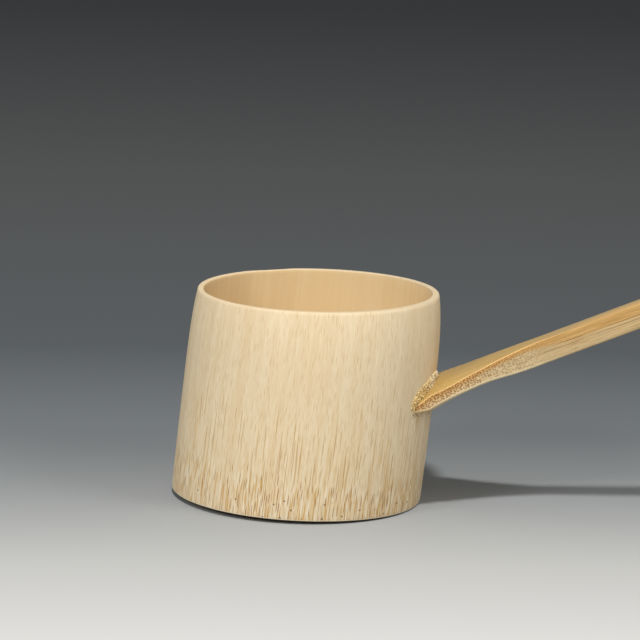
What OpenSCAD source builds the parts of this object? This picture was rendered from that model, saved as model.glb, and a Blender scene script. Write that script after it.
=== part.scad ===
// Bamboo water dipper: a cup cut from one culm section, and a long slat handle
// whose flared butt is wedged in a crescent-shaped mortise in the cup's wall.
// Origin: middle of the ring that the cup stands on. +X points along the handle, +Z is up.

/* [Cup] */
// Greatest outside diameter of the cup
cup_d = 60; // [56:0.5:70]
// Height of the cup along its own axis, from foot to lip
cup_h = 49.8; // [45:0.1:60]
// Height on the axis at which the cup is widest
widest_z = 22; // [16:0.5:28]
// Thickness of the wall at the widest height
wall = 2.8; // [2.4:0.1:3.6]
// How far the outside draws in at the lip, on the radius
lip_in = 1.25; // [0.6:0.05:1.6]
// How far the outside draws in at the foot, on the radius
foot_in = 0.1; // [0:0.05:0.6]
// Bevel round the foot's outer edge
foot_bevel = 0.5; // [0.2:0.1:1]
// Offset of the bore away from the handle, as culms grow unevenly
bore_offset = 0.4; // [0:0.1:0.6]
// Lean of the cup's axis towards the handle, in degrees
cup_lean = 3.8; // [0:0.1:5]
// Rise of the lip towards the handle, in degrees
lip_rise = 1.4; // [-2:0.1:3]

/* [Floor] */
// Height of the cup's floor above the foot
floor_z = 5; // [4:0.1:8]
// Radius of the corner between floor and wall
floor_fillet = 4.5; // [2:0.5:8]
// Depth of the recess under the floor
recess_depth = 1.6; // [0.8:0.1:2.4]
// Width of the ring that the cup stands on
foot_ring = 3.4; // [2.6:0.1:5]

/* [Bud groove] */
// Direction of the groove round the cup, in degrees from the handle
groove_turn = 120; // [100:1:150]
// Depth of the groove at the lip
groove_lip = 0.8; // [0.3:0.1:1.2]
// Depth of the groove at the foot
groove_foot = 0.8; // [0.3:0.1:1.2]
// Radius of the groove's hollow
groove_r = 45; // [30:1:60]
// Thickness of the wall behind the groove
groove_wall = 1.7; // [1.3:0.1:2.2]

/* [Handle] */
// Length from the cup's side to the handle's node
inner_l = 140; // [110:1:170]
// Length from the node to the tail
outer_l = 168; // [130:1:200]
// Thickness of the slat from the cup to the node
handle_t = 5.9; // [4.6:0.1:6.4]
// Thickness of the slat at the tail
tail_t = 4.2; // [3.4:0.1:4.6]
// Width of the slat at its neck, past the flare
neck_w = 6; // [5.4:0.1:9]
// Width of the slat at the node
node_w = 9; // [7:0.1:11]
// Width of the slat at the tail
tail_w = 11; // [8:0.1:14]
// Rise of the handle above the foot's plane, in degrees
handle_rise = 24.7; // [20:0.1:30]
// Bend at the node, which lowers the outer half, in degrees
node_bend = 3.5; // [1:0.1:6]
// Height above the foot at which the handle's middle meets the cup's side
handle_z = 26.5; // [23:0.1:30]
// Radius of the rounded skin side, on top
skin_r = 45; // [38:1:60]
// Radius of the rounded flesh side, below
flesh_r = 31; // [29:1:40]
// Height of the node's ridge above the skin
ridge_h = 0.45; // [0.2:0.05:0.8]
// Length of the node's ridge along the handle
ridge_l = 4.8; // [3:0.1:8]
// Height of the node's stub below the flesh side
stub_h = 0.6; // [0.2:0.05:1]
// Length of the slanting cut across the tail, on the flesh side
tail_cut = 5; // [3:0.5:9]
// Thickness left at the tip of that cut
tail_tip = 1; // [0.6:0.1:2]
// Length by which the shaved flat under the tail reaches past its cut
tail_flat = 10; // [8:1:14]
// Depth of that flat at the cut
tail_shave = 0.35; // [0.2:0.05:0.35]

/* [Crescent joint] */
// Width of the flared butt from horn to horn, at the cup's side
horn_w = 29.2; // [24:0.2:30]
// Length over which the flare narrows to the neck
flare_l = 30; // [22:1:38]
// Curve of the flare: 1 is straight, more draws it in sooner
flare_curve = 1.25; // [1:0.05:1.8]
// Taper of the tenon that wedges it in the wall, on each side in degrees
wedge = 4; // [2:0.5:6]
// Extra thickness of the tenon, below the slat
swell = 1.1; // [0.8:0.1:2]
// Radius of the hollow that thins the butt to the slat
scoop_r = 38; // [28:1:60]
// Distance from the cup's side to the start of that hollow
scoop_gap = 1; // [0.5:0.1:2]
// How far the handle's end stands out of the wall, inside the cup
tenon_proud = 0.4; // [0.2:0.1:1]
// Clearance all round between the tenon and its mortise
joint_gap = 0.05; // [0.02:0.01:0.15]

/* [Hidden] */
$fn = 96;
cup_r = cup_d / 2;
bore_r = cup_r - wall;
lip_r = cup_r - lip_in;
foot_r = cup_r - foot_in;
// The outside of the culm is worked out a little past both cuts.
overrun = 5;
profile_steps = 10;
lip_power = 6;
flare_steps = 12;
// A block larger than anything that it trims
big = 4 * (inner_l + outer_l);
scoop_l = sqrt(scoop_r * scoop_r - pow(scoop_r - swell, 2));
scoop_end = scoop_gap + scoop_l;
taper = atan((handle_t - tail_t) / outer_l);
flat_start = outer_l - tail_cut - 2 * tail_flat;
handle_reach = inner_l + outer_l * cos(node_bend);
// Half height of the block that carries the handle's plan outline
plan_half = handle_t + outer_l * sin(node_bend + taper);

// Outside radius of the culm at height z on its axis
function culm_r(z) = z > widest_z
    ? cup_r - lip_in * pow((z - widest_z) / (cup_h - widest_z), lip_power)
    : cup_r - foot_in * pow((widest_z - z) / widest_z, 2);

// Half width of the handle at distance s from the cup's side, within the flare
function flare_half(s) = s < 0
    ? horn_w / 2 - s * tan(wedge)
    : neck_w / 2 + (horn_w - neck_w) / 2 * pow(1 - s / flare_l, flare_curve);

module lean() rotate([0, cup_lean, 0]) children();

// Outside of the culm as a turned shape, longer than the cup at both ends
module culm() {
    steps = [for (i = [0 : profile_steps]) i / profile_steps];
    lower = [for (f = steps) -overrun + f * (widest_z + overrun)];
    upper = [for (f = steps) if (f > 0) widest_z + f * (cup_h + overrun - widest_z)];
    rotate_extrude()
        polygon(concat(
            [[0, -overrun]],
            [for (z = concat(lower, upper)) [culm_r(z), z]],
            [[0, cup_h + overrun]]));
}

// The hollow groove that a bud leaves along one side of a culm
module bud_groove(grow) {
    foot_at = foot_r - groove_foot;
    lip_at = lip_r - groove_lip;
    rotate([0, 0, groove_turn])
        translate([foot_at + groove_r, 0, 0])
            rotate([0, -atan((foot_at - lip_at) / cup_h), 0])
                translate([0, 0, -overrun])
                    cylinder(r = groove_r + grow, h = cup_h + 2 * overrun);
}

// Inside of the cup, with a round corner above the floor
module bore() {
    translate([-bore_offset, 0, 0]) rotate_extrude() {
        translate([0, floor_z + floor_fillet]) square([bore_r, cup_h]);
        translate([0, floor_z]) square([bore_r - floor_fillet, 2 * floor_fillet]);
        intersection() {
            translate([bore_r - floor_fillet, floor_z + floor_fillet]) circle(r = floor_fillet);
            translate([0, floor_z]) square([bore_r, 2 * floor_fillet]);
        }
    }
}

// Everything above the lip's slanting plane
module above_lip() {
    lean() translate([0, 0, cup_h])
        rotate([0, -cup_lean - lip_rise, 0])
            translate([-big / 2, -big / 2, 0]) cube(big);
}

// Upright blank with the foot's flat plane and its bevelled edge
module foot_blank() {
    cut_r = foot_r / cos(cup_lean) - foot_bevel;
    cylinder(r1 = cut_r, r2 = cut_r + overrun, h = overrun);
    translate([-cup_d, -cup_d, overrun]) cube([2 * cup_d, 2 * cup_d, 2 * cup_h]);
}

module cup() {
    recess_r = foot_r - foot_ring;
    color([0.87, 0.77, 0.58]) difference() {
        intersection() {
            lean() culm();
            foot_blank();
        }
        lean() bud_groove(0);
        lean() difference() {
            bore();
            bud_groove(groove_wall);
        }
        translate([0, 0, -overrun]) cylinder(r = recess_r, h = overrun + recess_depth);
        above_lip();
        mortise();
    }
}

// Frame of the handle's inner half: X runs along it from the cup's side, Z is its thickness
module handle_frame() {
    translate([cup_r, 0, handle_z]) rotate([0, -handle_rise, 0]) children();
}

module node_frame(bend) {
    translate([inner_l, 0, 0]) rotate([0, bend, 0]) children();
}

// Rod along X whose top or bottom line lies at height z
module skin_rod(from, to, grow = 0) {
    translate([from, 0, handle_t / 2 - skin_r])
        rotate([0, 90, 0]) cylinder(r = skin_r + grow, h = to - from);
}

module flesh_rod(from, to, below, grow = 0) {
    translate([from, 0, flesh_r - handle_t / 2 - below])
        rotate([0, 90, 0]) cylinder(r = flesh_r + grow, h = to - from);
}

// Plan outline of the whole handle, widest at the horns
module handle_plan(grow = 0) {
    flare = [for (i = [0 : flare_steps]) flare_l * i / flare_steps];
    side = concat(
        [[-cup_r, flare_half(-cup_r)]],
        [for (s = flare) [s, flare_half(s)]],
        [[inner_l, node_w / 2], [handle_reach, tail_w / 2]]);
    last = len(side) - 1;
    translate([0, 0, -plan_half]) linear_extrude(2 * plan_half)
        polygon(concat(
            [for (p = side) [p[0], p[1] + grow]],
            [for (i = [0 : last]) [side[last - i][0], -side[last - i][1] - grow]]));
}

// Hollow under the butt: a saddle next to the cup, then straight to the node
module underside_cut() {
    floor_at = -handle_t / 2 - scoop_r;
    depth = handle_t;
    half = horn_w;
    translate([scoop_end, 0, floor_at]) rotate([90, 0, 0])
        rotate([0, 0, 90]) rotate_extrude(angle = 90) difference() {
            translate([0, -half]) square([scoop_r + depth, 2 * half]);
            translate([scoop_r + flesh_r, 0]) circle(r = flesh_r);
        }
    difference() {
        translate([scoop_end, -half, floor_at]) cube([inner_l, 2 * half, scoop_r + depth]);
        flesh_rod(scoop_end - 1, scoop_end + inner_l + 1, 0);
    }
}

module inner_half() {
    difference() {
        intersection() {
            skin_rod(-cup_r, inner_l + overrun);
            flesh_rod(-cup_r, inner_l + overrun, swell);
        }
        underside_cut();
        node_frame(node_bend / 2) translate([0, -big / 2, -big / 2]) cube(big);
    }
}

module outer_half() {
    node_frame(node_bend) difference() {
        intersection() {
            skin_rod(-overrun, outer_l);
            translate([0, 0, -handle_t / 2]) rotate([0, -taper, 0])
                translate([0, 0, handle_t / 2]) flesh_rod(-overrun, outer_l + overrun, 0);
        }
        rotate([0, -node_bend / 2, 0]) translate([-big, -big / 2, -big / 2]) cube(big);
        tail_slant();
    }
}

// Slanting cut that finishes the tail from the flesh side, and the shaved flat before it, on
// which the tail comes to lie
module tail_slant() {
    rotate([90, 0, 0]) linear_extrude(2 * tail_w, center = true)
        polygon([
            [flat_start, handle_t / 2 - tail_t - tail_shave],
            [outer_l - tail_cut, handle_t / 2 - tail_t + tail_shave],
            [outer_l, handle_t / 2 - tail_tip],
            [outer_l + tail_cut, handle_t / 2 - tail_tip],
            [outer_l + tail_cut, -handle_t],
            [flat_start, -handle_t]]);
}

// Ring with slanting flanks round a rod of radius r
module node_ring(r, rise) {
    root = handle_t / 4;
    rotate([0, 90, 0]) rotate_extrude() polygon([
        [r - root, -ridge_l / 2],
        [r, -ridge_l / 2],
        [r + rise, -ridge_l / 8],
        [r + rise, ridge_l / 8],
        [r, ridge_l / 2],
        [r - root, ridge_l / 2]]);
}

module handle_node() {
    node_frame(node_bend / 2) {
        translate([0, 0, handle_t / 2 - skin_r]) node_ring(skin_r, ridge_h);
        translate([0, 0, flesh_r - handle_t / 2]) node_ring(flesh_r, stub_h);
    }
}

module handle() {
    color([0.84, 0.68, 0.40]) difference() {
        handle_frame() intersection() {
            handle_plan();
            union() {
                inner_half();
                outer_half();
                handle_node();
            }
        }
        // The butt is trimmed inside the cup, along the bore.
        lean() translate([-bore_offset, 0, -cup_h])
            cylinder(r = bore_r - tenon_proud, h = 3 * cup_h);
    }
}

// Crescent-shaped hole in the cup's wall, the tenon's shape plus the clearance
module mortise() {
    handle_frame() intersection() {
        handle_plan(joint_gap);
        skin_rod(-cup_r, flare_l, joint_gap);
        flesh_rod(-cup_r, flare_l, swell, joint_gap);
    }
}

cup();
handle();
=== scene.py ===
import math
import random

import bmesh
import bpy
import numpy as np
from mathutils import Matrix, Vector


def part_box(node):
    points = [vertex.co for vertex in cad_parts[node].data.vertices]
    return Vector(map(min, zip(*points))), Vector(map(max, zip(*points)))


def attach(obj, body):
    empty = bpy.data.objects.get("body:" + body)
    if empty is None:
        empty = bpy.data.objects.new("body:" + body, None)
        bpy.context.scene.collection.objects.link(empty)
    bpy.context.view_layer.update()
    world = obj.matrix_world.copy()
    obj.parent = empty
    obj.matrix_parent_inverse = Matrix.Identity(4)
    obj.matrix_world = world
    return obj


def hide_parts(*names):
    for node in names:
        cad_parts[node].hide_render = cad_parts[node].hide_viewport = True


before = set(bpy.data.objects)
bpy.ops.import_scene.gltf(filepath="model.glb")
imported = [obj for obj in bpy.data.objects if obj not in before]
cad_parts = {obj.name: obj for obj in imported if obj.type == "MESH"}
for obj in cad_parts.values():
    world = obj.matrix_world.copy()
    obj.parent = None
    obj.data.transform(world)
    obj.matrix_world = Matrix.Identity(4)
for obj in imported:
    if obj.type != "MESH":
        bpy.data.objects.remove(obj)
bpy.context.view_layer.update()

MM = 0.001

# Cup: the outside of the culm is 30 mm in radius, which the frame's box gives
cup_low, cup_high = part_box("cup")
CUP_R = (cup_high.y - cup_low.y) / 2
CUP_H = 49.8 * MM
WIDEST_Z = 22 * MM
LIP_IN = 1.25 * MM
LIP_POWER = 4
FOOT_IN = 0.1 * MM
BORE_R = CUP_R - 2.65 * MM
BORE_OFFSET = 0.55 * MM
CUP_LEAN = math.radians(3.8)
LIP_RISE = math.radians(1.4)
FLOOR_Z = 5 * MM
FLOOR_FILLET = 4.5 * MM
FLOOR_DISH = 0.5 * MM
FLOOR_RIPPLE = 0.15 * MM
RECESS_DEPTH = 1.6 * MM
RECESS_R = CUP_R - 3.5 * MM
RECESS_FLARE = 0.006
RECESS_RIPPLE = 0.12 * MM
FOOT_BEVEL = 0.15 * MM
LIP_ROUND = 0.3 * MM
LIP_ARC = (22, 45, 67, 90)
LIP_SHIFT = 0.3 * MM
LIP_SHIFT_L = 9 * MM
GROOVE_TURN = math.radians(120)
GROOVE_DEPTH = 0.8 * MM
GROOVE_BELLY = 0.65 * MM
GROOVE_R = 45 * MM
GROOVE_WALL = 1.7 * MM
GROOVE_SOFT = 0.15 * MM
RIB_SOFT = 0.5 * MM
OUT_OF_ROUND = 0.05 * MM
FACET_DEPTH = 0.022 * MM
FACET_TWIST = 1.5
BORE_UNEVEN = 0.06 * MM
INSIDE_FROM = 3.2 * MM
UNDER_TO = 3 * MM

# Points of the cup's skin: round it, and rings on each of its stretches
CUP_TURNS = 432
RECESS_RINGS = 14
FOOT_RINGS = 6
OUTSIDE_RINGS = 84
BORE_RINGS = 60
FILLET_RINGS = 12
FLOOR_RINGS = 18

# Handle: a slat with a lens-shaped section, flared at the cup and bent at its node
INNER_L = 140 * MM
OUTER_L = 168 * MM
HANDLE_T = 5.9 * MM
TAIL_T = 4.2 * MM
NECK_W = 6 * MM
NODE_W = 9 * MM
TAIL_W = 11 * MM
HANDLE_RISE = math.radians(24.7)
NODE_BEND = math.radians(3.5)
HANDLE_Z = 26.5 * MM
SKIN_R = 45 * MM
FLESH_R = 31 * MM
FLESH_SLOPE = 0.2
HORN_W = 28.9 * MM
FLARE_L = 30 * MM
FLARE_CURVE = 1.42
WEDGE = math.radians(4)
SWELL = 1.0 * MM
SWELL_AT_BUTT = 0.25
SWELL_FADE = 6 * MM
SCOOP_R = 38 * MM
SCOOP_GAP = 1 * MM
SCOOP_END = SCOOP_GAP + math.sqrt(SCOOP_R ** 2 - (SCOOP_R - SWELL) ** 2)
TENON_PROUD = 0.4 * MM
JOINT_GAP = 0.06 * MM
CUTTER_REACH = 14 * MM
RIDGE_H = 0.45 * MM
RIDGE_L = 1.5 * MM
STUB_H = 0.6 * MM
STUB_L = 2 * MM
NODE_GROOVE = 0.22
NODE_GROOVE_AT = 1.5
NODE_GROOVE_L = 0.35
BEND_EASE = 5 * MM
TAIL_CUT = 5 * MM
TAIL_TIP = 1 * MM
TAIL_FLAT = 10 * MM
TAIL_SHAVE = 0.35 * MM
SKIN_EDGE = 0.22 * MM
FLESH_EDGE = 0.3 * MM
EDGE_SHARE = 0.4
THIN_SIDE = 0.25 * MM

# Fine departures from the plain flare: each has its depth, its middle and its reach along the slat
PINCH = 1.1 * MM
PINCH_AT = 2.2 * MM
PINCH_L = 2.6 * MM
DIP = 0.18 * MM
DIP_AT = 13 * MM
DIP_L = 9 * MM
WAIST = 0.62 * MM
WAIST_AT = 15.5 * MM
WAIST_L = 6.5 * MM

# Points of the handle's sections, and the place of the near lower corner in their loop
FACE_POINTS = 25
SIDE_POINTS = 7
LOW_CORNER = FACE_POINTS + SIDE_POINTS + 1

# Torn rim of the joint: its width, more at the near horn and hardly any past the slat's middle
RIM_W = 2.1 * MM
RIM_HORN_W = 0.4 * MM
RIM_HIDDEN = 0.88
RIM_FADE = 3 * MM
RIM_TIP = 0.3
TORN_REACH = 1.3 * MM
WALL_SEARCH = 9 * MM

# How finely the rim is made, and what is strewn on its near part
RIM_POINTS = 190
RIM_ACROSS = 13
RIM_TAPER = 8
RIM_REACH = 0.48
RIM_CRUMBS = 760
HORN_CRUMBS = 260
SPLINTERS = 360
CRUMB_SIZE = (0.1 * MM, 0.24 * MM)
SPLINTER_L = (0.3 * MM, 0.8 * MM)
SPLINTER_W = (0.06 * MM, 0.13 * MM)
CRUMB_CORNERS = 7

# Dark seams on the slat's cut side: depth and width, strength, and start along it, in millimetres
SEAMS = ((2.35, 0.17, 0.8, 30), (3.15, 0.13, 0.65, 24), (3.8, 0.1, 0.35, 40))

LEAN = Matrix.Rotation(CUP_LEAN, 4, "Y")
HANDLE_FRAME = Matrix.Translation((CUP_R, 0, HANDLE_Z)) @ Matrix.Rotation(-HANDLE_RISE, 4, "Y")
INNER_END = HANDLE_FRAME @ Matrix.Translation((INNER_L, 0, 0))
NODE_FRAME = INNER_END @ Matrix.Rotation(NODE_BEND, 4, "Y")

# Camera: a long lens, a little above the cup's mouth and slightly round to the handle's side
TARGET = Vector((0, 0, 0.025))
CAMERA_AZIMUTH = math.radians(4.5)
CAMERA_RISE = math.radians(12.06)
CAMERA_DISTANCE = 1.0
CAMERA_ROLL = math.radians(3.12)
CAMERA_LENS = 234.4
CAMERA_SENSOR = 36
CAMERA_REACH = 20
AIM_RIGHT = 4.4 * MM
AIM_UP = 16.8 * MM

# The cup doesn't stand quite flat: its foot touches the floor only behind, at the handle's side.
FLOOR_TILT = math.radians(1.1)
TOUCH_TURN = math.radians(35)
FLOOR_HALF = 3

# Display colours of the floor from the front to the back, by their distance behind the cup
FLOOR_TONES = (
    (-0.16, (202, 200, 197)), (-0.08, (178, 178, 175)), (-0.02, (144, 146, 146)),
    (0.05, (111, 115, 117)), (0.16, (86, 90, 92)), (0.45, (87, 88, 88)), (0.9, (72, 73, 75)))
GRADIENT_SKEW = 0.2

# Round lamps: place, width and watts of each
LAMPS = {
    "key": ((0.0, -0.51, 1.15), 0.12, 12),
    "left": ((-1.05, -1.3, 0.95), 0.45, 10.1),
    "right": ((1.25, -0.55, 1.2), 0.7, 7.2),
}
LAMP_AIM = (0, 0, 0.03)
WORLD_LIGHT = 0.27


def srgb(red, green, blue):
    """Linear colour from 0-255 display values."""
    def linear(v):
        v /= 255
        return v / 12.92 if v <= 0.04045 else ((v + 0.055) / 1.055) ** 2.4
    return (linear(red), linear(green), linear(blue), 1.0)


def place_camera():
    """Sets the camera round the target by its angles, and aims it a little beside the target."""
    ahead = -Vector((
        math.sin(CAMERA_AZIMUTH) * math.cos(CAMERA_RISE),
        -math.cos(CAMERA_AZIMUTH) * math.cos(CAMERA_RISE),
        math.sin(CAMERA_RISE)))
    level = ahead.cross(Vector((0, 0, 1))).normalized()
    rise = level.cross(ahead)
    right = level * math.cos(CAMERA_ROLL) + rise * math.sin(CAMERA_ROLL)
    up = rise * math.cos(CAMERA_ROLL) - level * math.sin(CAMERA_ROLL)
    place = TARGET - ahead * CAMERA_DISTANCE
    look = (TARGET + right * AIM_RIGHT + up * AIM_UP - place).normalized()
    right = look.cross(up).normalized()
    up = right.cross(look)
    data = bpy.data.cameras.new("camera")
    data.lens = CAMERA_LENS
    data.sensor_width = CAMERA_SENSOR
    data.clip_end = CAMERA_REACH
    camera = bpy.data.objects.new("camera", data)
    bpy.context.scene.collection.objects.link(camera)
    camera.matrix_world = Matrix((
        (right.x, up.x, -look.x, place.x),
        (right.y, up.y, -look.y, place.y),
        (right.z, up.z, -look.z, place.z),
        (0, 0, 0, 1)))
    bpy.context.scene.camera = camera


def new_object(name, verts, faces):
    """A mesh object in the scene."""
    mesh = bpy.data.meshes.new(name)
    mesh.from_pydata([tuple(v) for v in verts], [], faces)
    mesh.update()
    thing = bpy.data.objects.new(name, mesh)
    bpy.context.scene.collection.objects.link(thing)
    return thing


def cut_away(thing, cutter):
    """Boolean difference, applied, after which the cutter is gone."""
    step = thing.modifiers.new("cut", "BOOLEAN")
    step.operation = "DIFFERENCE"
    step.solver = "EXACT"
    step.object = cutter
    graph = bpy.context.evaluated_depsgraph_get()
    mesh = bpy.data.meshes.new_from_object(thing.evaluated_get(graph))
    thing.modifiers.clear()
    thing.data = mesh
    bpy.data.objects.remove(cutter)


def smooth_shade(thing, sharp=40):
    """Smooth shading, apart from edges that turn by more than the given degrees."""
    mesh = thing.data
    mesh.polygons.foreach_set("use_smooth", [True] * len(mesh.polygons))
    mesh.set_sharp_from_angle(angle=math.radians(sharp))
    mesh.update()


def point_values(thing, name, values):
    """Stores one number or one vector for each vertex, for the materials."""
    values = np.asarray(values, np.float32)
    kind = "FLOAT_VECTOR" if values.ndim == 2 else "FLOAT"
    layer = thing.data.attributes.new(name, kind, "POINT")
    layer.data.foreach_set("vector" if values.ndim == 2 else "value", values.ravel())


def vertex_array(thing):
    """The places of all vertices, one in each row."""
    places = np.empty(len(thing.data.vertices) * 3, np.float32)
    thing.data.vertices.foreach_get("co", places)
    return places.reshape(-1, 3).astype(float)


def to_frame(places, matrix):
    """Places in the local frame that matrix carries to the world."""
    back = np.array(matrix.inverted())
    return places @ back[:3, :3].T + back[:3, 3]


def waves(turn, seed, counts, size):
    """A smooth closed ripple round the cup: sines of whole counts with seeded phases."""
    source = random.Random(seed)
    total = np.zeros_like(turn)
    for count in counts:
        total += np.sin(count * turn + source.uniform(0, 2 * math.pi)) * source.uniform(0.4, 1)
    return total * size / math.sqrt(len(counts))


def groove_depth(turn, along):
    """Depth of the bud groove, a hollow with soft edges that is deepest at half height."""
    away = (turn - GROOVE_TURN + math.pi) % (2 * math.pi) - math.pi
    height = np.clip(along / CUP_H, 0, 1)
    depth = GROOVE_DEPTH + GROOVE_BELLY * np.sin(math.pi * height)
    hollow = depth - (CUP_R * away) ** 2 / 2 * (1 / CUP_R + 1 / GROOVE_R)
    return GROOVE_SOFT * np.log1p(np.exp(np.clip(hollow / GROOVE_SOFT, -30, 30)))


def outer_radius(turn, along):
    """Radius of the barrel's outside, less the bud groove."""
    above = np.clip((along - WIDEST_Z) / (CUP_H - WIDEST_Z), 0, None)
    below = np.clip((WIDEST_Z - along) / WIDEST_Z, 0, None)
    radius = CUP_R - LIP_IN * above ** LIP_POWER - FOOT_IN * below ** 2
    # Scraping leaves long, hardly visible flats and a slightly uneven round.
    facets = waves(turn + along * FACET_TWIST, 11, (23, 31, 38, 47, 59), FACET_DEPTH)
    uneven = waves(turn, 5, (2, 3, 5), OUT_OF_ROUND)
    return radius - groove_depth(turn, along) + facets + uneven


def inner_radius(turn, along):
    """Radius of the bore, which a rib behind the bud groove narrows and the lip shifts a little."""
    plain = BORE_R - BORE_OFFSET * np.cos(turn) + waves(turn, 8, (3, 4, 7), BORE_UNEVEN)
    rib = CUP_R - groove_depth(turn, along) - GROOVE_WALL
    near_lip = np.clip((along - CUP_H + LIP_SHIFT_L) / LIP_SHIFT_L, 0, 1) ** 2
    lesser = -RIB_SOFT * np.logaddexp(-plain / RIB_SOFT, -rib / RIB_SOFT)
    return lesser - LIP_SHIFT * near_lip * np.cos(turn)


def leaned(turn, radius, along):
    """A point of the cup by its turn, radius and height, which are taken from its leaning axis."""
    x = radius * np.cos(turn)
    cos, sin = math.cos(CUP_LEAN), math.sin(CUP_LEAN)
    return np.stack([x * cos + along * sin, radius * np.sin(turn), along * cos - x * sin], -1)


def upright(turn, radius, share, height):
    """A point level with the foot, at a share of the way from its middle to its edge."""
    x = radius * np.cos(turn) / math.cos(CUP_LEAN)
    y = radius * np.sin(turn)
    return np.stack([x * share, y * share, np.full_like(turn, height)], -1)


def edge_ring(turn, height, lean):
    """Radius of the cup where a leaning plane cuts it, and how far along the axis that is."""
    along = height + CUP_R * np.cos(turn) * math.tan(lean)
    radius = outer_radius(turn, along)
    return radius, height + radius * np.cos(turn) * math.tan(lean)


def underside_rows(turn, foot_radius):
    """Rings from the middle of the recess over the foot's flat ring to its bevelled edge."""
    rows = []
    for share in np.linspace(0.04, 1, RECESS_RINGS):
        ripple = RECESS_RIPPLE * math.sin(9 * share) * (1 - share)
        rows.append(upright(turn, RECESS_R, share, RECESS_DEPTH + ripple))
    for drop in (0.15, 0.5, 0.85, 1):
        edge = 1 + RECESS_FLARE * drop ** 2
        rows.append(upright(turn, RECESS_R, edge, RECESS_DEPTH * (1 - drop)))
    inner_share = RECESS_R * (1 + RECESS_FLARE) / CUP_R
    outer_share = 1 - FOOT_BEVEL / CUP_R
    for share in np.linspace(inner_share, outer_share, FOOT_RINGS)[1:]:
        rows.append(upright(turn, foot_radius, share, 0))
    for angle in (30, 60):
        arc = math.radians(angle)
        share = 1 - FOOT_BEVEL / CUP_R * (1 - math.sin(arc))
        rows.append(upright(turn, foot_radius, share, FOOT_BEVEL * (1 - math.cos(arc))))
    return rows


def outside_rows(turn, start, lip_at):
    """Rings up the outside, from the foot's bevel to the lip's rounding."""
    rows = []
    for share in np.linspace(0, 1, OUTSIDE_RINGS):
        along = start + (lip_at - LIP_ROUND - start) * share
        rows.append(leaned(turn, outer_radius(turn, along), along))
    return rows


def lip_rows(turn, lip_at):
    """Rings over the lip, which is rounded at both edges."""
    outside = outer_radius(turn, lip_at)
    inside = inner_radius(turn, lip_at)

    def rounded(edge, inward, angle):
        arc = math.radians(angle)
        radius = edge + inward * LIP_ROUND * (1 - math.cos(arc))
        return leaned(turn, radius, lip_at - LIP_ROUND * (1 - math.sin(arc)))

    rows = [rounded(outside, -1, angle) for angle in LIP_ARC]
    for share in (0.35, 0.7):
        radius = (outside - LIP_ROUND) * (1 - share) + (inside + LIP_ROUND) * share
        rows.append(leaned(turn, radius, lip_at))
    return rows + [rounded(inside, 1, angle) for angle in LIP_ARC[::-1]]


def bore_rows(turn, lip_at):
    """Rings down the bore, round its corner and over the dished floor to its middle."""
    rows = []
    bottom = FLOOR_Z + FLOOR_FILLET
    for share in np.linspace(0, 1, BORE_RINGS):
        along = (lip_at - LIP_ROUND) * (1 - share) + bottom * share
        rows.append(leaned(turn, inner_radius(turn, along), along))
    wall = inner_radius(turn, np.full_like(turn, bottom))
    for angle in np.linspace(0, 90, FILLET_RINGS)[1:]:
        arc = math.radians(angle)
        radius = wall - FLOOR_FILLET * (1 - math.cos(arc))
        along = np.full_like(turn, bottom - FLOOR_FILLET * math.sin(arc))
        rows.append(leaned(turn, radius, along))
    flat = wall - FLOOR_FILLET
    for share in np.linspace(1, 0.03, FLOOR_RINGS)[1:]:
        dish = FLOOR_DISH * (1 - share ** 2) + FLOOR_RIPPLE * math.sin(14 * share) * share
        rows.append(leaned(turn, flat * share, np.full_like(turn, FLOOR_Z - dish)))
    return rows


def cup_rows(turn):
    """Rings of points, from the middle of the underside over the lip to the floor's middle."""
    foot_radius, foot_along = edge_ring(turn, 0, CUP_LEAN)
    lip_at = edge_ring(turn, CUP_H, CUP_LEAN + LIP_RISE)[1]
    rows = underside_rows(turn, foot_radius)
    rows += outside_rows(turn, foot_along + FOOT_BEVEL, lip_at)
    return rows + lip_rows(turn, lip_at) + bore_rows(turn, lip_at)


def tube_faces(rings, count, start=0):
    """Four-cornered faces between neighbouring rings of count points each."""
    faces = []
    for low in range(start, start + (rings - 1) * count, count):
        high = low + count
        for k in range(count):
            n = (k + 1) % count
            faces.append((low + k, low + n, high + n, high + k))
    return faces


def ring_mesh(name, rows):
    """A closed skin over rings of points, with a single point closing each end."""
    count = len(rows[0])
    verts = [rows[0].mean(0)] + [p for row in rows for p in row] + [rows[-1].mean(0)]
    last = len(verts) - 1
    end = last - count
    faces = [(0, 1 + (k + 1) % count, 1 + k) for k in range(count)]
    faces += tube_faces(len(rows), count, start=1)
    faces += [(last, end + k, end + (k + 1) % count) for k in range(count)]
    return new_object(name, verts, faces)


def hump(s, middle, reach):
    """A bell curve along the handle that is 1 at its middle."""
    return np.exp(-((s - middle) / reach) ** 2)


def flare_half(s):
    """Half width of the handle at distance s from the cup's side."""
    pinch = PINCH * hump(s, PINCH_AT, PINCH_L)
    if s < 0:
        return HORN_W / 2 - s * math.tan(WEDGE) - pinch
    if s < FLARE_L:
        return NECK_W / 2 + (HORN_W - NECK_W) / 2 * (1 - s / FLARE_L) ** FLARE_CURVE - pinch
    if s < INNER_L:
        return (NECK_W + (NODE_W - NECK_W) * (s - FLARE_L) / (INNER_L - FLARE_L)) / 2
    return (NODE_W + (TAIL_W - NODE_W) * (s - INNER_L) / OUTER_L) / 2


def swell_at(s):
    """Extra thickness below: full at the cup's side, fading into the wall and into the scoop."""
    if s < SCOOP_GAP:
        share = min(max(1 + (s - SCOOP_GAP) / SWELL_FADE, 0), 1)
        return SWELL * (SWELL_AT_BUTT + (1 - SWELL_AT_BUTT) * share ** 2 * (3 - 2 * share))
    if s < SCOOP_END:
        return SCOOP_R - math.sqrt(SCOOP_R ** 2 - (SCOOP_END - s) ** 2)
    return 0.0


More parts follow.
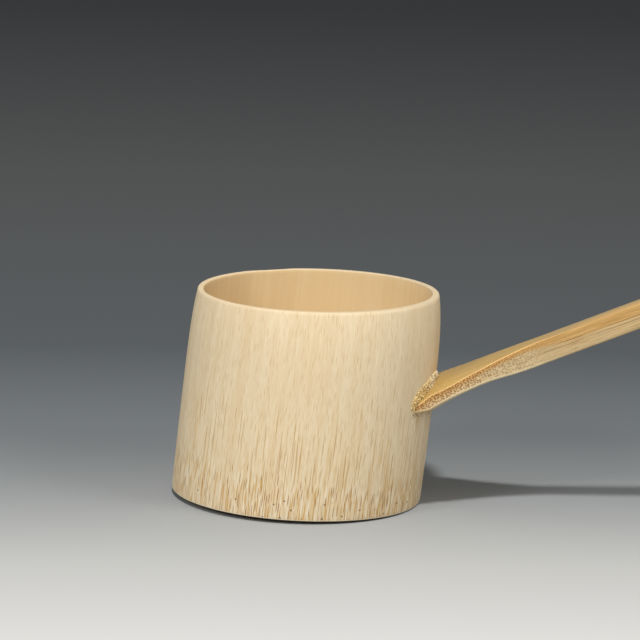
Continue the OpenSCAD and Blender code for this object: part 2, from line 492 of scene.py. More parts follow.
def sag(y, radius):
    """Fall of an arc of the given radius at y from its middle."""
    return radius - np.sqrt(radius ** 2 - y ** 2)


def flesh_sag(y):
    """Rise of the flesh side from its middle: round there, and shaved straight near the edges."""
    y = np.abs(y)
    bend = FLESH_R * math.sin(math.atan(FLESH_SLOPE))
    return sag(np.minimum(y, bend), FLESH_R) + FLESH_SLOPE * np.maximum(y - bend, 0)


def tail_flat(from_tail):
    """Height of the flats shaved under the tail, at a distance from its tip."""
    if from_tail < TAIL_CUT:
        share = from_tail / TAIL_CUT
        return HANDLE_T / 2 - TAIL_TIP * (1 - share) - (TAIL_T - TAIL_SHAVE) * share
    return HANDLE_T / 2 - TAIL_T + TAIL_SHAVE * (1 - (from_tail - TAIL_CUT) / TAIL_FLAT)


def node_swelling(s, height, spread):
    """Rise of the node's ring, and a fine groove past it as shares of its height and spread."""
    away = (s - INNER_L) / spread
    groove = NODE_GROOVE * math.exp(-((away - NODE_GROOVE_AT) / NODE_GROOVE_L) ** 2)
    return height * (math.exp(-away ** 2) - groove)


def section(s, grow=0.0):
    """Closed loop (y, height) round the handle at distance s, starting at the top's far edge."""
    half = flare_half(s) + grow
    thin = HANDLE_T - (HANDLE_T - TAIL_T) * max(0, s - INNER_L) / OUTER_L
    top = HANDLE_T / 2 + grow + node_swelling(s, RIDGE_H, RIDGE_L) - DIP * hump(s, DIP_AT, DIP_L)
    bottom = HANDLE_T / 2 - thin - swell_at(s) - grow - node_swelling(s, STUB_H, STUB_L)
    bottom += WAIST * hump(s, WAIST_AT, WAIST_L)
    shaved = tail_flat(INNER_L + OUTER_L - s) if s > INNER_L else -1.0
    y = np.linspace(half - SKIN_EDGE, -half + SKIN_EDGE, FACE_POINTS)
    over = np.stack([y, top - sag(y, SKIN_R)], -1)
    y = np.linspace(-half + FLESH_EDGE, half - FLESH_EDGE, FACE_POINTS)
    under = np.stack([y, np.maximum(bottom + flesh_sag(y), shaved)], -1)
    corner_top = top - sag(half, SKIN_R)
    corner_low = max(bottom + flesh_sag(half), shaved)
    height = max(corner_top - corner_low, THIN_SIDE)
    upper = min(SKIN_EDGE, height * EDGE_SHARE)
    lower = min(FLESH_EDGE, height * EDGE_SHARE)
    side = [(half - SKIN_EDGE * 0.25, corner_top - upper * 0.12)]
    for share in np.linspace(0, 1, SIDE_POINTS):
        side.append((half, (corner_top - upper) * (1 - share) + (corner_low + lower) * share))
    side.append((half - FLESH_EDGE * 0.3, corner_low + lower * 0.3))
    near = [(-y, h) for y, h in side]
    return np.array(list(over) + near + list(under) + side[::-1])


def spine(s):
    """Frame of the handle at distance s, turned smoothly through the bend at the node."""
    share = min(max((s - INNER_L + BEND_EASE) / (2 * BEND_EASE), 0), 1)
    return INNER_END @ Matrix.Rotation(NODE_BEND * share, 4, "Y")


def handle_loft(name, stations, grow=0.0):
    """A closed skin over the handle's sections at the given stations."""
    verts = []
    for s in stations:
        matrix = spine(s)
        verts += [matrix @ Vector((s - INNER_L, y, h)) for y, h in section(s, grow)]
    count = len(verts) // len(stations)
    faces = [(a, d, c, b) for a, b, c, d in tube_faces(len(stations), count)]
    faces.append(tuple(range(count)))
    faces.append(tuple(range(len(verts) - count, len(verts)))[::-1])
    return new_object(name, verts, faces)


def leaned_rod(name, radius):
    """A rod along the bore, only used to trim the handle's end inside the cup."""
    turn = np.linspace(0, 2 * math.pi, 360, endpoint=False)
    rows = []
    for share in np.linspace(0, 1, 3):
        along = np.full_like(turn, -CUP_H + 3 * CUP_H * share)
        rows.append(leaned(turn, radius - BORE_OFFSET * np.cos(turn), along))
    return ring_mesh(name, rows)


def lens_distance(places):
    """Distance outside the tenon's outline, negative within it, at places near the cup."""
    s, y, h = to_frame(places, HANDLE_FRAME).T
    top = HANDLE_T / 2 - sag(np.clip(y, -20 * MM, 20 * MM), SKIN_R) - h
    low = h + HANDLE_T / 2 + SWELL - flesh_sag(y)
    side = np.array([flare_half(v) for v in np.clip(s, -CUP_R, FLARE_L)]) - np.abs(y)
    return -np.minimum(np.minimum(top, low), side)


def build_cup():
    """The cup with its mortise cut, and the shares by which its material tells surfaces apart."""
    turn = np.linspace(0, 2 * math.pi, CUP_TURNS, endpoint=False)
    cup = ring_mesh("cup_shell", cup_rows(turn))
    cutter = handle_loft(
        "mortise_cutter", np.linspace(-CUTTER_REACH, CUTTER_REACH, 57), grow=JOINT_GAP)
    cut_away(cup, cutter)
    smooth_shade(cup)
    places = vertex_array(cup)
    x, y, along = to_frame(places, LEAN).T
    turn = np.arctan2(y, x)
    radius = np.hypot(x, y)
    middle = (outer_radius(turn, along) + inner_radius(turn, along)) / 2
    inside = np.clip(0.5 + (middle - radius) / (0.5 * MM), 0, 1)
    inside *= places[:, 2] > INSIDE_FROM
    lip_at = CUP_H + radius * np.cos(turn) * math.tan(CUP_LEAN + LIP_RISE)
    end_grain = np.clip(1 - (lip_at - along) / LIP_ROUND, 0, 1)
    end_grain = np.maximum(end_grain, np.clip(1 - places[:, 2] / FOOT_BEVEL, 0, 1))
    under = (places[:, 2] < UNDER_TO) & (radius < RECESS_R * 1.02)
    torn = np.clip(1 - np.abs(lens_distance(places)) / TORN_REACH, 0, 1) * (places[:, 0] > 0)
    point_values(cup, "inside", inside)
    point_values(cup, "end_grain", np.maximum(end_grain, under * 0.6))
    point_values(cup, "torn", torn)
    return cup


def handle_stations():
    """Distances of the sections from the cup's side, closest at the flare, the node and the cut."""
    neck, node, tip, cut = (round(v / MM) for v in (FLARE_L, INNER_L, INNER_L + OUTER_L, TAIL_CUT))
    return np.concatenate([
        np.arange(-13, neck + 4, 0.75),
        np.arange(neck + 4, node - 7, 3.0),
        np.arange(node - 7, node + 8, 0.5),
        np.arange(node + 8, tip - 28, 3.0),
        np.arange(tip - 28, tip - cut, 1.0),
        np.linspace(tip - cut, tip, 9)]) * MM


def build_handle():
    """The slat, trimmed along the bore, and the places in its grain for its material."""
    handle = handle_loft("handle_slat", handle_stations())
    cut_away(handle, leaned_rod("bore_trim", BORE_R - TENON_PROUD))
    smooth_shade(handle)
    places = vertex_array(handle)
    inner = to_frame(places, HANDLE_FRAME)
    outer = to_frame(places, NODE_FRAME) + np.array([INNER_L, 0, 0])
    grain = np.where((inner[:, 0] < INNER_L)[:, None], inner, outer)
    crest = HANDLE_T / 2 - sag(grain[:, 1], SKIN_R) - DIP * hump(grain[:, 0], DIP_AT, DIP_L)
    point_values(handle, "grain", grain)
    point_values(handle, "depth", crest - grain[:, 2])
    stations = np.linspace(-CUTTER_REACH, INNER_L + OUTER_L, 400)
    lower = np.interp(grain[:, 0], stations, [section(s)[LOW_CORNER, 1] for s in stations])
    point_values(handle, "above", grain[:, 2] - lower)
    return handle


def wall_point(y, height):
    """Where a line along the handle, at y and height across it, meets the cup's outside."""
    near, far = -WALL_SEARCH, WALL_SEARCH
    for _ in range(40):
        middle = (near + far) / 2
        point = HANDLE_FRAME @ Vector((middle, y, height))
        x, y_cup, along = to_frame(np.array([point]), LEAN)[0]
        turn = math.atan2(y_cup, x)
        if math.hypot(x, y_cup) < outer_radius(np.array([turn]), np.array([along]))[0]:
            near = middle
        else:
            far = middle
    return point


def joint_path():
    """Points round the joint on the cup's side, from the near horn's tip over to the far one."""
    half = HORN_W / 2
    low = -HANDLE_T / 2 - SWELL + flesh_sag(half)
    outline = [(y, HANDLE_T / 2 - sag(y, SKIN_R)) for y in np.linspace(-half, half, RIM_POINTS)]
    far_side = np.linspace(low, HANDLE_T / 2 - sag(half, SKIN_R), 8)[-2:0:-1]
    outline += [(half, height) for height in far_side]
    return [wall_point(y, height) for y, height in outline]


def rim_width(k, y):
    """Width of the torn rim at point k of the joint's path, y to the left of the handle."""
    to_horn = max(0, -y / (HORN_W / 2))
    hidden = min(max((y + RIM_FADE) / RIM_FADE, 0), 1)
    tip = min(k / RIM_TAPER, 1)
    width = (RIM_W + RIM_HORN_W * to_horn ** 2) * (1 - RIM_HIDDEN * hidden)
    return width * (RIM_TIP + (1 - RIM_TIP) * tip)


def rim_places(path):
    """Each point of the path with the rim's width and the ways out, along and off the joint."""
    middle = HANDLE_FRAME @ Vector((0, 0, -1 * MM))
    places = []
    for k, point in enumerate(path):
        width = rim_width(k, (HANDLE_FRAME.inverted() @ point).y)
        out = Vector((point.x, point.y, 0)).normalized()
        along = (path[min(k + 1, len(path) - 1)] - path[max(k - 1, 0)]).normalized()
        away = out.cross(along).normalized()
        if away.dot(point - middle) < 0:
            away = -away
        places.append((point, width, out, along, away))
    return places


def splinter(verts, faces, root, way, side, length, width):
    """One torn fibre: a thin splinter with four sides, pointed at both ends."""
    across = way.cross(side).normalized()
    start = len(verts)
    verts.append(root)
    for share, scale in ((0.3, 1), (0.7, 0.7)):
        middle = root + way * length * share + side * length * 0.15 * share ** 2
        for angle in (0, 90, 180, 270):
            arc = math.radians(angle)
            flat = 0.6 if angle in (0, 180) else 1
            turned = across * math.cos(arc) + side * math.sin(arc)
            verts.append(middle + turned * width * scale * flat)
    verts.append(root + way * length + side * length * 0.15)
    for k in range(4):
        n = (k + 1) % 4
        faces.append((start, start + 1 + n, start + 1 + k))
        faces.append((start + 1 + k, start + 1 + n, start + 5 + n, start + 5 + k))
        faces.append((start + 5 + k, start + 5 + n, start + 9))


def crumb(verts, faces, place, size, source):
    """One lump of torn pith: a ball with a few corners round it, pushed out of shape."""
    start = len(verts)
    stretch = [source.uniform(0.6, 1.3) for _ in range(3)]
    for rise in (-60, -20, 20, 60):
        for k in range(CRUMB_CORNERS):
            angle = math.radians(k * 360 / CRUMB_CORNERS + rise)
            level = math.radians(rise)
            away = Vector((
                math.cos(angle) * math.cos(level) * stretch[0],
                math.sin(angle) * math.cos(level) * stretch[1],
                math.sin(level) * stretch[2]))
            verts.append(place + away * size * source.uniform(0.75, 1.2))
    faces += tube_faces(4, CRUMB_CORNERS, start)
    faces.append(tuple(range(start, start + CRUMB_CORNERS))[::-1])
    faces.append(tuple(range(len(verts) - CRUMB_CORNERS, len(verts))))


def rim_strip(verts, faces, places, ahead, source):
    """The crumpled strip of torn fibres that follows the joint's edge."""
    for point, base, out, along, away in places:
        width = base * source.uniform(0.6, 1.3)
        fold = source.uniform(0.2, 0.5) * MM
        outer = point + away * width - out * 0.08 * MM
        inner = point + ahead * fold - away * 0.04 * MM
        knee = point + away * 0.2 * width + ahead * 0.2 * fold
        lift = (out + away * 0.3).normalized()
        for j in range(RIM_ACROSS):
            share = j / (RIM_ACROSS - 1)
            place = outer * (1 - share) ** 2 + knee * 2 * share * (1 - share) + inner * share ** 2
            swelling = math.sin(math.pi * min(share * 1.15, 1)) * 0.07 * MM
            rough = source.gauss(0, 0.06) * MM if 0 < j < RIM_ACROSS - 1 else 0
            place = place + lift * (swelling + rough) + along * source.gauss(0, 0.04) * MM
            verts.append(place)
        verts.append(point - out * 0.5 * MM + ahead * 0.1 * MM)
        verts.append(point + away * width * 0.5 - out * 0.45 * MM)
    ring = RIM_ACROSS + 2
    faces += tube_faces(len(places), ring)
    faces.append(tuple(range(ring))[::-1])
    faces.append(tuple(range(len(verts) - ring, len(verts))))


def near_place(places, crowding, source):
    """A place on the near part of the rim, more often towards the horn's tip."""
    return places[int(source.random() ** crowding * len(places) * RIM_REACH)]


def rim_crumbs(verts, faces, places, ahead, source):
    """Crumbs along the rim's near part, and a heap of them above the near horn's corner."""
    for _ in range(RIM_CRUMBS):
        point, width, out, _, away = near_place(places, 1.4, source)
        place = point + away * source.uniform(-0.05, 1.1) * width
        place += ahead * max(0, source.gauss(0, 0.25)) * MM
        crumb(verts, faces, place + out * 0.03 * MM, source.uniform(*CRUMB_SIZE), source)
    corner = HANDLE_T / 2 - sag(HORN_W / 2, SKIN_R)
    for _ in range(HORN_CRUMBS):
        turn, reach = source.uniform(0, 2 * math.pi), source.uniform(0, 1.5) * MM
        side = -HORN_W / 2 + 0.1 * MM + reach * math.cos(turn)
        place = wall_point(side, corner + 0.4 * MM + reach * math.sin(turn))
        crumb(verts, faces, place, source.uniform(*CRUMB_SIZE), source)


def rim_splinters(verts, faces, places, source):
    """Splinters that stand off the rim's near part in all ways."""
    axis = (LEAN.to_3x3() @ Vector((0, 0, 1))).normalized()
    for _ in range(SPLINTERS):
        point, base, out, along, away = near_place(places, 1.7, source)
        root = point + away * source.uniform(-0.1, 1.1) * base + out * 0.02 * MM
        way = axis * source.uniform(-1, 1) + out * source.uniform(0.2, 0.9)
        way += along * source.uniform(-0.8, 0.8)
        length = source.uniform(*SPLINTER_L)
        width = source.uniform(*SPLINTER_W)
        splinter(verts, faces, root, way.normalized(), out, length, width)


def build_joint_fibres():
    """Crumbled rim of torn fibres, thrown up where the mortise was cut and the butt wedged."""
    source = random.Random(21)
    ahead = (HANDLE_FRAME.to_3x3() @ Vector((1, 0, 0))).normalized()
    places = rim_places(joint_path())
    verts, faces = [], []
    rim_strip(verts, faces, places, ahead, source)
    rim_crumbs(verts, faces, places, ahead, source)
    rim_splinters(verts, faces, places, source)
    fibres = new_object("joint_fibres", verts, faces)
    bm = bmesh.new()
    bm.from_mesh(fibres.data)
    bmesh.ops.recalc_face_normals(bm, faces=bm.faces)
    bm.to_mesh(fibres.data)
    bm.free()
    smooth_shade(fibres, 50)
    return fibres


class Tree:
    """A short way to write a node material."""

    def __init__(self, name):
        self.material = bpy.data.materials.new(name)
        self.material.use_nodes = True
        self.tree = self.material.node_tree
        self.shader = self.tree.nodes["Principled BSDF"]

    def put(self, socket, value):
        """Links an output to the socket, or sets a plain value on it."""
        if isinstance(value, bpy.types.NodeSocket):
            self.tree.links.new(value, socket)
        else:
            socket.default_value = value

    def add(self, kind, inputs=(), out=0, **settings):
        """Makes a node with its settings and inputs, and gives one of its outputs."""
        made = self.tree.nodes.new(kind)
        for key, value in settings.items():
            setattr(made, key, value)
        for key, value in dict(inputs).items():
            self.put(made.inputs[key], value)
        return made.outputs[out]

    def maths(self, operation, first, second=0.0, clamp=False):
        return self.add("ShaderNodeMath", {0: first, 1: second},
                        operation=operation, use_clamp=clamp)

    def span(self, value, low, high, to_low=0.0, to_high=1.0):
        """Smooth step of value from low to high."""
        return self.add("ShaderNodeMapRange", {
            "Value": value, "From Min": low, "From Max": high,
            "To Min": to_low, "To Max": to_high}, interpolation_type="SMOOTHSTEP")

    def scaled(self, vector, cell):
        """Coordinates counted in cells of the given size, in millimetres on each axis."""
        each = tuple(1 / (c * MM) for c in cell)
        return self.add("ShaderNodeVectorMath", {0: vector, 1: each}, operation="MULTIPLY")

    def noise(self, vector, cell, detail, roughness=0.5):
        """Noise with cells of the given size in millimetres on each axis."""
        return self.add("ShaderNodeTexNoise", {
            "Vector": self.scaled(vector, cell), "Scale": 1.0, "Detail": detail,
            "Roughness": roughness})

    def mix(self, share, first, second):
        """The first colour, or the second one where the share is 1."""
        return self.add("ShaderNodeMix", {
            "Factor": share, "A": first, "B": second}, out="Result", data_type="RGBA")

    def value_of(self, name, vector=False):
        """A value that point_values stored on the mesh."""
        return self.add("ShaderNodeAttribute", out=1 if vector else 2, attribute_name=name)

    def object_place(self):
        return self.add("ShaderNodeTexCoord", out="Object")

    def leaned_place(self):
        """Object coordinates turned so that Z runs along the cup's own axis."""
        return self.add("ShaderNodeVectorRotate", {
            "Vector": self.object_place(), "Angle": -CUP_LEAN}, rotation_type="Y_AXIS")

    def unrolled(self, place):
        """Coordinates round the cup and along its axis, as if the wall were laid flat."""
        x, y, z = self.parts(place)
        turn = self.maths("ARCTAN2", x, self.maths("MULTIPLY", y, -1))
        round_wall = self.maths("MULTIPLY", turn, CUP_R)
        return self.add("ShaderNodeCombineXYZ", {0: round_wall, 1: z}), z

    def parts(self, vector):
        return tuple(self.add("ShaderNodeSeparateXYZ", {0: vector}).node.outputs)

    def fibre_cells(self, flat, across, length, seed):
        """Coordinates counted in cells along the fibres, moved by each layer's own seed."""
        scaled = self.scaled(flat, (across, length, 1))
        step = (seed, seed * 3, 0)
        return self.add("ShaderNodeVectorMath", {0: scaled, 1: step}, operation="ADD")

    def strands(self, flat, across, length, detail, roughness, seed):
        """Noise drawn out along the fibres, with cells of the given size in millimetres."""
        return self.add("ShaderNodeTexNoise", {
            "Vector": self.fibre_cells(flat, across, length, seed), "Scale": 1.0,
            "Detail": detail, "Roughness": roughness}, noise_dimensions="2D")

    def needles(self, flat, across, length, radius, amount, seed, jitter=1.0):
        """Pointed flecks, one in each of an amount of the cells; radius is a share of a cell."""
        distance = self.add("ShaderNodeTexVoronoi", {
            "Vector": self.fibre_cells(flat, across, length, seed), "Scale": 1.0,
            "Randomness": jitter}, out="Distance", voronoi_dimensions="2D")
        chosen = self.add("ShaderNodeSeparateColor", {0: distance.node.outputs["Color"]})
        shape = self.span(distance, radius, radius * 0.6)
        return self.both(shape, self.span(self.maths("ADD", chosen, amount), 1.0, 1.05))

    def both(self, first, second, *more):
        """Product of shares."""
        product = self.maths("MULTIPLY", first, second)
        for value in more:
            product = self.maths("MULTIPLY", product, value)
        return product

    def finish(self, colour, roughness, height, bump, distance):
        """Puts colour, roughness and a bump of the height on the shader; distance is in mm."""
        self.put(self.shader.inputs["Base Color"], colour)
        self.put(self.shader.inputs["Roughness"], roughness)
        bumped = self.add("ShaderNodeBump", {
            "Height": height, "Strength": bump, "Distance": distance * MM})
        self.put(self.shader.inputs["Normal"], bumped)
        return self.material


def wall_colour(t, flat, low, rightward):
    """The scraped wall: broad bands, groups of darker fibres, and a fine comb of fibres."""
    bands = t.span(t.strands(flat, 2.2, 80, 2, 0.55, 2.3), 0.38, 0.62)
    colour = t.mix(bands, srgb(228, 208, 173), srgb(224, 202, 165))
    colour = t.mix(t.both(low, 0.25), colour, srgb(240, 222, 186))
    warm = t.span(t.strands(flat, 5, 30, 1, 0.5, 7.7), 0.5, 0.75)
    colour = t.mix(t.both(warm, 0.35), colour, srgb(223, 197, 155))
    groups = t.span(t.strands(flat, 1.3, 26, 1, 0.5, 6.1), 0.52, 0.68)
    colour = t.mix(t.both(groups, low, rightward, 0.38), colour, srgb(211, 175, 116))
    comb = t.strands(flat, 0.2, 9, 0, 0.5, 3.3)
    colour = t.mix(t.both(t.span(comb, 0.5, 0.66), 0.1), colour, srgb(200, 162, 106))
    colour = t.mix(t.both(t.span(comb, 0.48, 0.34), 0.1), colour, srgb(240, 226, 197))
    return colour, comb


def wall_flecks(t, colour, flat, low, rightward):
    """Fibres laid open by the scraping: flecks, ticks and long lines, most of them low down."""
    pale = t.needles(flat, 0.5, 8, 0.21, 0.6, 12.3)
    colour = t.mix(t.both(pale, 0.42), colour, srgb(240, 226, 196))
    faint = t.needles(flat, 0.36, 4, 0.24, 0.6, 2.9)
    colour = t.mix(t.both(faint, 0.22), colour, srgb(188, 146, 80))
    amount = t.maths("ADD", t.both(low, 0.35), 0.45)
    ticks = t.needles(flat, 0.44, 6.5, 0.21, amount, 5.9)
    colour = t.mix(t.both(ticks, 0.42), colour, srgb(188, 146, 80))
    lines = t.maths("MAXIMUM",
                    t.needles(flat, 0.6, 30, 0.18, t.both(low, rightward, 0.85), 31.3),
                    t.needles(flat, 0.7, 44, 0.17, t.both(low, rightward, 0.75), 17.1))
    colour = t.mix(t.both(lines, 0.64), colour, srgb(182, 136, 70))
    return colour, t.maths("MAXIMUM", lines, ticks)


def node_marks(t, colour, flat, height):
    """Swaying tongues of ochre, brown and cream above the foot, where the culm's node was."""
    edge_wave = t.maths("SUBTRACT", t.strands(flat, 0.7, 40, 1, 0.5, 4.2), 0.5)
    zone_height = t.maths("ADD", height, t.both(edge_wave, 9 * MM))
    zone = t.span(zone_height, 10.2 * MM, 8.2 * MM)
    sway = t.maths("SUBTRACT", t.strands(flat, 2.2, 5.5, 0, 0.5, 1.7), 0.5)
    sway = t.both(sway, t.span(height, 13 * MM, 7 * MM, 0.1, 1), 0.25 * MM)
    across = t.add("ShaderNodeCombineXYZ", {0: sway})
    wavy = t.add("ShaderNodeVectorMath", {0: flat, 1: across}, operation="ADD")
    tongues = t.needles(wavy, 0.85, 10, 0.33, 0.7, 9.3)
    colour = t.mix(t.both(tongues, zone, 0.75), colour, srgb(239, 225, 196))
    ochre = t.maths("MAXIMUM", t.needles(wavy, 0.7, 12, 0.26, 0.8, 3.6),
                    t.needles(wavy, 0.55, 9, 0.22, 0.6, 19.4))
    colour = t.mix(t.both(ochre, zone, 0.8), colour, srgb(204, 158, 84))
    dark = t.needles(wavy, 0.5, 8, 0.21, 0.7, 15.2)
    return t.mix(t.both(dark, zone, 0.85), colour, srgb(152, 102, 44))


def foot_marks(t, colour, flat, height):
    """A few dark pores just above the foot, and a painted highlight along the foot's edge."""
    speckled = t.span(t.parts(flat)[0], -9 * MM, -3 * MM, 0.1, 0.6)
    pores = t.needles(flat, 2.4, 2.4, 0.11, speckled, 7.2)
    pores = t.both(pores, t.span(height, 5.6 * MM, 4.4 * MM))
    colour = t.mix(t.both(pores, 0.85), colour, srgb(92, 62, 36))
    # Painted highlight: a pale band just above the foot's bevel, standing in for the edge catching
    # the light.
    edge = t.span(t.parts(t.object_place())[2], 0.4 * MM, 0.15 * MM)
    return t.mix(t.both(edge, 0.75), colour, srgb(240, 226, 198)), pores


def bore_and_ends(t, colour, flat, place):
    """The bore's even bands, and the speckled end grain of the lip and the foot."""
    bands = t.strands(flat, 1.6, 70, 2, 0.5, 21)
    bore = t.mix(t.span(bands, 0.3, 0.7), srgb(226, 200, 155), srgb(223, 196, 149))
    fine = t.span(t.strands(flat, 0.3, 14, 0, 0.5, 24), 0.55, 0.7)
    bore = t.mix(t.both(fine, 0.06), bore, srgb(198, 162, 108))
    colour = t.mix(t.value_of("inside"), colour, bore)
    speckles = t.span(t.noise(place, (0.28, 0.28, 0.28), 1, 0.5), 0.55, 0.68)
    ends = t.mix(t.both(speckles, 0.4), srgb(208, 188, 154), srgb(182, 146, 98))
    return t.mix(t.value_of("end_grain"), colour, ends)


def torn_marks(t, colour, place):
    """Pale chips and dark pits where the wall is torn round the joint."""
    torn = t.value_of("torn")
    ragged = t.noise(place, (0.3, 0.3, 0.5), 2, 0.6)
    pits = t.both(t.span(ragged, 0.53, 0.62), t.span(torn, 0.25, 0.8))
    chips = t.both(t.span(ragged, 0.5, 0.4), t.span(torn, 0.2, 0.7))
    colour = t.mix(t.both(chips, 0.8), colour, srgb(238, 216, 158))
    return t.mix(t.both(pits, 0.75), colour, srgb(118, 84, 40)), pits


def cup_material():
    """Scraped bare bamboo, matt, with its fibres along the cup's axis."""
    t = Tree("cup_bamboo")
    place = t.leaned_place()
    flat, height = t.unrolled(place)
    low = t.span(height, 36 * MM, 9 * MM)
    rightward = t.span(t.parts(flat)[0], -30 * MM, 28 * MM, 0.6, 1.4)
    colour, comb = wall_colour(t, flat, low, rightward)
    colour, marks = wall_flecks(t, colour, flat, low, rightward)
    colour = node_marks(t, colour, flat, height)
    colour, pores = foot_marks(t, colour, flat, height)
    colour = bore_and_ends(t, colour, flat, place)
    colour, pits = torn_marks(t, colour, place)
    relief = t.maths("SUBTRACT", t.both(comb, 0.6), t.both(marks, 0.5))
    relief = t.maths("SUBTRACT", relief, t.both(pores, 1.5))
    relief = t.maths("SUBTRACT", relief, t.both(pits, 1.5))
    rough = t.maths("ADD", t.both(comb, 0.15), 0.5)
    t.shader.inputs["Specular IOR Level"].default_value = 0.3
    return t.finish(colour, rough, relief, 0.5, 0.06)


def slat_layers(t, grain, along, depth, above, slat, flare):
    """The cut side: rind below the skin, flesh under it, and painted floor-bounce light that turns
    the lower edge at the flare cream.
    """
    uneven = t.both(t.maths("SUBTRACT", t.noise(grain, (12, 2, 2), 1), 0.5), 0.7 * MM)
    rind_depth = t.maths("ADD", uneven, depth)
    flesh = t.mix(t.span(t.noise(grain, (40, 0.8, 0.8), 2, 0.5), 0.4, 0.6),
                  srgb(199, 176, 134), srgb(188, 164, 120))
    warm = t.span(along, 20 * MM, 3 * MM, 0, 0.85)
    flesh = t.mix(warm, flesh, srgb(206, 172, 122))
    rind = t.mix(slat, srgb(188, 143, 82), srgb(189, 148, 87))
    rind_low = t.maths("SUBTRACT", 3.0 * MM, t.both(flare, 1.2 * MM))
    in_rind = t.span(t.maths("SUBTRACT", rind_depth, rind_low), 0, -1.1 * MM)
    colour = t.mix(in_rind, flesh, rind)
    # Painted light bounced up from the floor: the lowest strip of the cut side and the flesh side
    # below it turn cream, most on the flare.
    cream = t.both(t.span(above, 0.8 * MM, 0.35 * MM), t.maths("ADD", t.both(flare, 0.7), 0.1))
    cream = t.both(cream, t.span(along, -1 * MM, 5 * MM, 0.3, 1.0))
    return t.mix(cream, colour, srgb(226, 206, 166)), rind, rind_depth


def slat_dots(t, colour, grain, along, depth, above, rind_depth, slat, flare):
    """Cut fibre bundles: rows of dots on the flare, and dashes along the slat."""
    dense = t.span(rind_depth, 2.6 * MM, 1.0 * MM)
    row_wave = t.both(t.maths("SUBTRACT", t.noise(grain, (3, 3, 3), 1), 0.5), 0.5 * MM)
    rows = t.add("ShaderNodeCombineXYZ", {0: t.maths("ADD", depth, row_wave), 1: along})
    dots = t.needles(rows, 0.36, 0.7, 0.42, t.maths("ADD", t.both(dense, 0.3), 0.72), 3.1, 0.7)
    dots = t.both(dots, t.span(above, 0.3 * MM, 0.6 * MM), flare)
    dots = t.both(dots, t.span(along, 27 * MM, 8 * MM, 0.45, 0.95))
    colour = t.mix(dots, colour, srgb(122, 78, 36))
    side = t.add("ShaderNodeCombineXYZ", {0: depth, 1: along})
    dashes = t.needles(side, 0.5, 5, 0.25, 0.6, 8.4)
    dashes = t.both(dashes, t.span(depth, 2.6 * MM, 3.4 * MM), slat)
    colour = t.mix(t.both(dashes, 0.45), colour, srgb(158, 118, 66))
    return colour, t.maths("ADD", dots, dashes)


def slat_lines(t, colour, grain, along, rind_depth, slat, fine):
    """Fine pale and dark fibres along the slat's side, and dark seams between its layers."""
    colour = t.mix(t.both(t.span(fine, 0.5, 0.64), slat, 0.55), colour, srgb(222, 182, 120))
    colour = t.mix(t.both(t.span(fine, 0.48, 0.36), slat, 0.4), colour, srgb(172, 126, 66))
    for at, width, share, start in SEAMS:
        off = t.maths("ABSOLUTE", t.maths("SUBTRACT", rind_depth, at * MM))
        line = t.span(off, width * MM, width * 0.3 * MM)
        shown = t.span(along, start * MM, (start + 8) * MM)
        patchy = t.span(t.noise(grain, (9, 9, 9), 1), 0.3, 0.5, 0.35, 1)
        colour = t.mix(t.both(line, shown, patchy, share), colour, srgb(138, 96, 44))
    return colour


def slat_skin(t, grain, along, sideways, slat, fine, rind):
    """The skin side, scraped down to the rind along its near edge beyond the flare."""
    tone = t.noise(grain, (50, 1.2, 50), 3, 0.55)
    skin = t.mix(t.span(tone, 0.35, 0.65), srgb(181, 150, 90), srgb(170, 138, 78))
    lines = t.span(t.noise(grain, (26, 0.25, 30), 2, 0.5), 0.5, 0.7)
    skin = t.mix(t.both(lines, 0.2), skin, srgb(198, 165, 104))
    skin = t.mix(t.both(slat, 0.45), skin, srgb(164, 141, 102))
    skin = t.mix(t.span(along, 14 * MM, -1 * MM, 0, 0.15), skin, srgb(214, 176, 104))
    scraped = t.both(t.span(sideways, 0.3 * MM, -0.9 * MM), t.span(along, 34 * MM, 46 * MM))
    skin = t.mix(t.both(scraped, 0.85), skin, rind)
    return t.mix(t.both(scraped, t.span(fine, 0.5, 0.64), 0.6), skin, srgb(226, 184, 120))


def handle_material():
    """Bare bamboo slat: a satin skin side, matt cut sides with fibre dots and lines, and a painted
    highlight along the skin's edges.
    """
    t = Tree("handle_bamboo")
    grain = t.value_of("grain", vector=True)
    depth = t.value_of("depth")
    above = t.value_of("above")
    along, sideways, _ = t.parts(grain)
    slat = t.span(along, 24 * MM, 38 * MM)
    flare = t.maths("SUBTRACT", 1.0, slat)
    fine = t.noise(grain, (22, 0.16, 0.16), 1, 0.5)
    colour, rind, rind_depth = slat_layers(t, grain, along, depth, above, slat, flare)
    colour, marks = slat_dots(t, colour, grain, along, depth, above, rind_depth, slat, flare)
    colour = slat_lines(t, colour, grain, along, rind_depth, slat, fine)
    on_skin = t.span(depth, 0.2 * MM, 0.06 * MM)
    colour = t.mix(on_skin, colour, slat_skin(t, grain, along, sideways, slat, fine, rind))
    # Painted highlight: a light line just under the skin along the slat's edges, strong on the
    # flare and faint beyond it.
    edge = t.both(t.span(depth, 0.05 * MM, 0.15 * MM), t.span(depth, 0.4 * MM, 0.22 * MM))
    edge = t.both(edge, t.maths("SUBTRACT", 0.9, t.both(slat, 0.7)))
    colour = t.mix(edge, colour, srgb(236, 192, 126))
    cut = t.maths("SUBTRACT", 1.0, on_skin)
    relief = t.both(marks, -0.8)
    relief = t.both(t.maths("ADD", relief, t.both(fine, 0.6)), cut)
    rough = t.maths("ADD", t.both(cut, 0.18), 0.4)
    t.shader.inputs["Specular IOR Level"].default_value = 0.35
    return t.finish(colour, rough, relief, 0.5, 0.08)


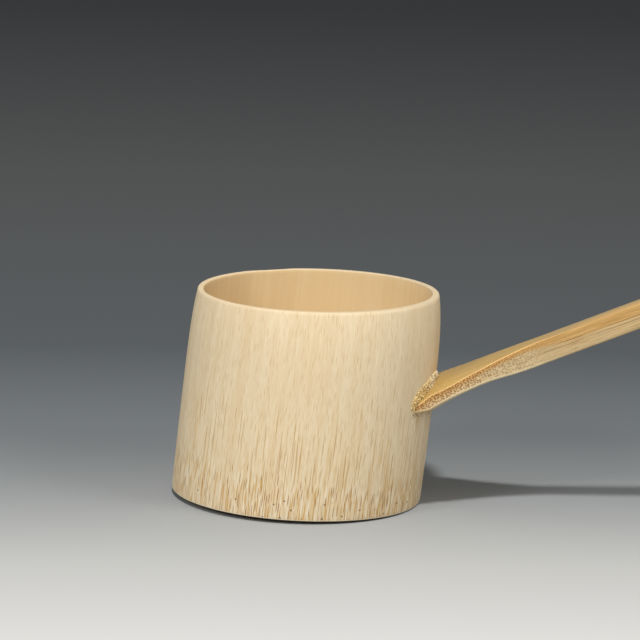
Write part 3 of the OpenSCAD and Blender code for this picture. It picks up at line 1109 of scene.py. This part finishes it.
def fibre_material():
    """Pale torn fibres, golden at the near horn, with small dark specks."""
    t = Tree("torn_fibres")
    place = t.object_place()
    tone = t.noise(place, (0.35, 0.35, 0.6), 2, 0.6)
    colour = t.mix(t.span(tone, 0.36, 0.6), srgb(242, 218, 160), srgb(254, 245, 216))
    golden = t.span(t.parts(place)[1], -7 * MM, -12 * MM)
    colour = t.mix(t.both(golden, 0.6), colour, srgb(244, 206, 112))
    speck = t.noise(place, (0.22, 0.22, 0.4), 1, 0.5)
    colour = t.mix(t.both(t.span(speck, 0.55, 0.62), 0.7), colour, srgb(128, 96, 44))
    return t.finish(colour, 0.7, speck, 0.4, 0.05)


def floor_material():
    """Display colours laid out from the front to the back, a little askew."""
    t = Tree("floor_sheet")
    place = t.object_place()
    sideways, back, _ = t.parts(place)
    back = t.maths("SUBTRACT", back, t.both(sideways, GRADIENT_SKEW))
    (near, near_tone), *between, (far, far_tone) = FLOOR_TONES
    share = t.maths("MULTIPLY", t.maths("SUBTRACT", back, near), 1 / (far - near), clamp=True)
    ramp = t.add("ShaderNodeValToRGB", {0: share})
    elements = ramp.node.color_ramp.elements
    elements[0].color, elements[1].color = srgb(*near_tone), srgb(*far_tone)
    for distance, tone in between:
        elements.new((distance - near) / (far - near)).color = srgb(*tone)
    t.shader.inputs["Specular IOR Level"].default_value = 0.0
    mottle = t.noise(place, (2, 2, 2), 3, 0.6)
    return t.finish(ramp, 0.9, mottle, 0.05, 0.02)


def build_floor():
    """A pale sheet that darkens away from the camera, tilted as the cup stands on it."""
    corners = [(x * FLOOR_HALF, y * FLOOR_HALF, 0) for x, y in ((-1, -1), (1, -1), (1, 1), (-1, 1))]
    floor = new_object("floor", corners, [(0, 1, 2, 3)])
    touch = Vector((CUP_R * math.cos(TOUCH_TURN), CUP_R * math.sin(TOUCH_TURN), 0))
    turned = Matrix.Rotation(TOUCH_TURN, 4, "Z")
    tilt = turned @ Matrix.Rotation(-FLOOR_TILT, 4, "Y") @ turned.inverted()
    floor.matrix_world = Matrix.Translation(touch) @ tilt
    floor.data.materials.append(floor_material())


def area_lamp(name, place, size, power):
    """A round lamp that looks at the cup."""
    data = bpy.data.lights.new(name, "AREA")
    data.shape = "DISK"
    data.size = size
    data.energy = power
    lamp = bpy.data.objects.new(name, data)
    bpy.context.scene.collection.objects.link(lamp)
    lamp.location = place
    lamp.rotation_euler = (Vector(LAMP_AIM) - Vector(place)).to_track_quat("-Z", "Y").to_euler()


def light_scene():
    """Three round lamps and an even white surround."""
    for name, lamp in LAMPS.items():
        area_lamp(name, *lamp)
    world = bpy.data.worlds.new("studio")
    bpy.context.scene.world = world
    world.use_nodes = True
    shade = world.node_tree.nodes["Background"]
    shade.inputs["Color"].default_value = (1.0, 1.0, 1.0, 1)
    shade.inputs["Strength"].default_value = WORLD_LIGHT


def dress(piece, material, slot, *nodes):
    """Gives a piece its material, ties it to the body, and hides the CAD nodes it stands for."""
    piece.data.materials.clear()
    piece.data.materials.append(material)
    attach(piece, "root")
    if nodes:
        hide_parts(*nodes)


place_camera()
cup = build_cup()
handle = build_handle()
fibres = build_joint_fibres()
dress(cup, cup_material(), "cup_bamboo", "cup")
dress(handle, handle_material(), "handle_bamboo", "handle")
dress(fibres, fibre_material(), "cup_bamboo")
build_floor()
light_scene()
bpy.context.scene.view_settings.view_transform = "Standard"
